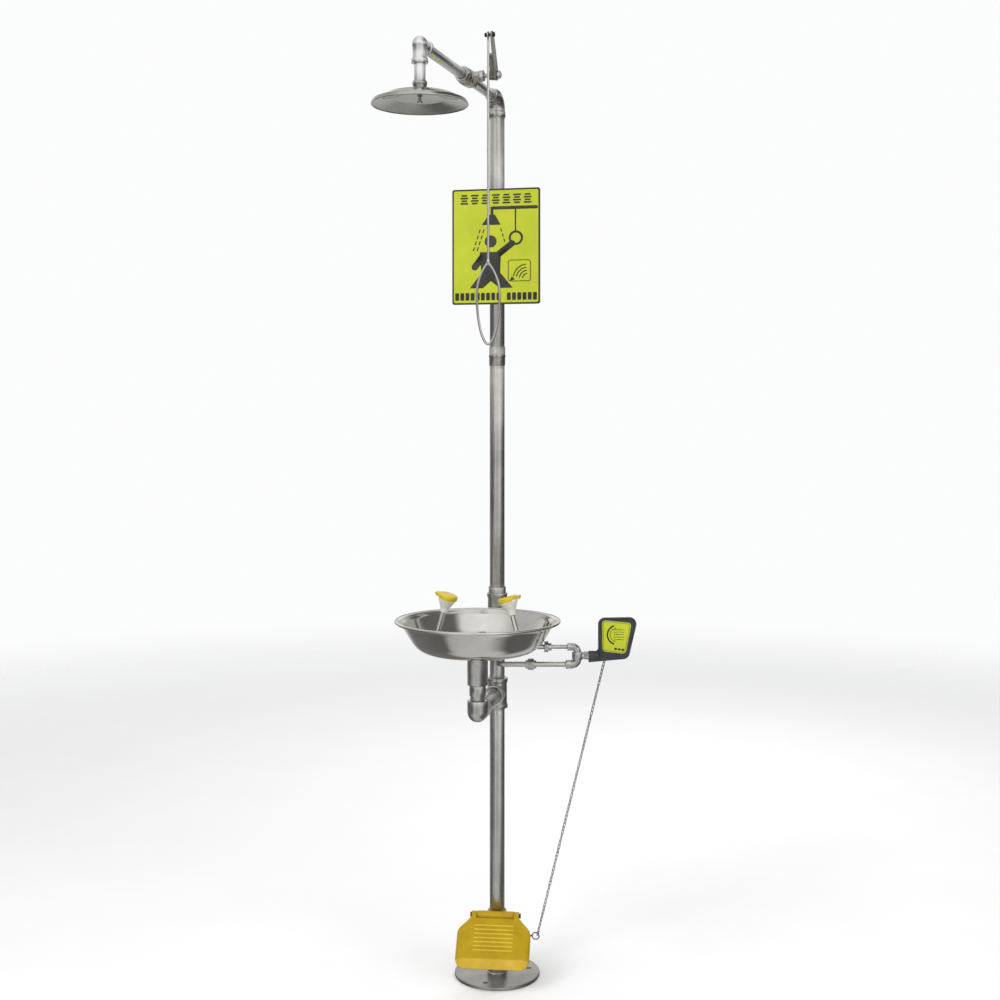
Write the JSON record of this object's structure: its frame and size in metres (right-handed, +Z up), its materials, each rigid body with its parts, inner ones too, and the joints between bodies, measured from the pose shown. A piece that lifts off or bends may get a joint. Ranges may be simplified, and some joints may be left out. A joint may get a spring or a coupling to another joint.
{
  "type": "emergency shower and eyewash station",
  "caption": "Floor-standing steel emergency shower on an arm with a pull rod, and an eyewash basin worked by a push flag or a foot treadle.",
  "frame": {"origin": "centre of the floor flange's underside, on the stanchion's axis", "axes": "+Z up along the stanchion, the eyewash basin stands towards -Y, +X is the push flag's side"},
  "size_m": [0.5724, 0.766, 2.3433],
  "materials": {
    "satin_steel": "satin drawn pipe",
    "cast_steel": "fine blasted casting",
    "polished_steel": "mirror polished",
    "dark_steel": "dark zinc",
    "brass_nut": "satin",
    "white_seal": "matte",
    "black_paint": "semi-gloss",
    "lime_film": "gloss film",
    "nozzle_plastic": "translucent moulding",
    "cap_plastic": "gloss moulding",
    "black_plastic": "fine grained",
    "yellow_paint": "powder coat"
  },
  "bodies": {
    "stand": {"floor_flange": "polished_steel", "lower_pipe": "satin_steel", "drain_tee": "cast_steel", "blind_plug": "brass_nut", "mid_pipe": "satin_steel", "branch_tee": "cast_steel", "tee_nipple": "satin_steel", "inlet_tee": "cast_steel", "riser_pipe": "satin_steel", "pipe_coupling": "cast_steel", "upper_pipe": "satin_steel", "top_elbow": "cast_steel", "arm_inner_pipe": "satin_steel", "shower_valve_body": "cast_steel", "shower_valve_nuts": "cast_steel", "shower_valve_seats": "white_seal", "shower_packing_nut": "cast_steel", "arm_outer_pipe": "satin_steel", "head_elbow": "cast_steel", "drop_pipe": "satin_steel", "head_collar": "cast_steel", "shower_bell": "polished_steel", "spray_pan": "polished_steel", "deluge_bolt": "dark_steel", "sign_plate": "black_paint", "sign_face": "lime_film", "sign_symbol": "black_paint", "sign_clamps": "satin_steel", "basin": "polished_steel", "strainer": "polished_steel", "drain_body": "cast_steel", "drain_locknut": "cast_steel", "drain_neck_nut": "cast_steel", "drain_elbow": "cast_steel", "waste_pipe": "satin_steel", "manifold": "cast_steel", "nozzle_bodies": "nozzle_plastic", "spray_discs": "nozzle_plastic", "branch_pipe": "satin_steel", "branch_union": "cast_steel", "valve_elbows": "cast_steel", "eyewash_valve_body": "cast_steel", "valve_packing_nut": "cast_steel", "inlet_fitting": "cast_steel", "treadle_bracket": "yellow_paint", "hinge_pin": "dark_steel"},
    "shower_handle": {"shower_ball": "cast_steel", "shower_stem": "cast_steel", "shower_lever": "cast_steel", "lever_nut": "cast_steel", "lever_pin": "dark_steel"},
    "pull_rod": {"pull_rod": "satin_steel"},
    "flag": {"eyewash_ball_stem": "cast_steel", "push_flag": "black_plastic", "flag_label": "lime_film"},
    "chain": {"chain": "dark_steel"},
    "treadle": {"treadle": "yellow_paint", "treadle_eye": "dark_steel"},
    "cap_left": {"cap_left": "cap_plastic"},
    "cap_right": {"cap_right": "cap_plastic"}
  },
  "joints": [
    {"name": "shower_lever_turn", "type": "hinge", "parent": "stand", "child": "shower_handle", "pos_m": [-0.02509, -0.23869, 2.247], "axis": [0.9945, -0.1045, 0], "range_deg": [0, 90]},
    {"name": "pull_rod_swing", "type": "hinge", "parent": "shower_handle", "child": "pull_rod", "pos_m": [0.0362, -0.27745, 2.33533], "axis": [0.9945, -0.1045, 0], "range_deg": [-90, 0]},
    {"name": "treadle_press", "type": "hinge", "parent": "stand", "child": "treadle", "pos_m": [0.00439, -0.04177, 0.165], "axis": [0.9945, 0.1045, 0], "range_deg": [0, 25]},
    {"name": "flag_push", "type": "hinge", "parent": "stand", "child": "flag", "pos_m": [0.23458, -0.18014, 0.857], "axis": [-0.9781, -0.2079, 0], "range_deg": [0, 70]},
    {"name": "chain_swing", "type": "hinge", "parent": "flag", "child": "chain", "pos_m": [0.30228, -0.15235, 0.86618], "axis": [-0.9781, -0.2079, 0], "range_deg": [-72.41, 0]},
    {"name": "cap_left_flip", "type": "hinge", "parent": "stand", "child": "cap_left", "pos_m": [-0.10387, -0.21725, 1.00413], "axis": [-0.1219, -0.9925, 0], "range_deg": [0, 110]},
    {"name": "cap_right_flip", "type": "hinge", "parent": "stand", "child": "cap_right", "pos_m": [0.10387, -0.24275, 1.00413], "axis": [0.1219, 0.9925, 0], "range_deg": [0, 110]}
  ],
  "couplings": [
    {"joint": "pull_rod_swing", "follows": "shower_lever_turn", "ratio": -1},
    {"joint": "flag_push", "follows": "treadle_press", "ratio": 2.8},
    {"joint": "chain_swing", "follows": "treadle_press", "ratio": -2.8566}
  ]
}
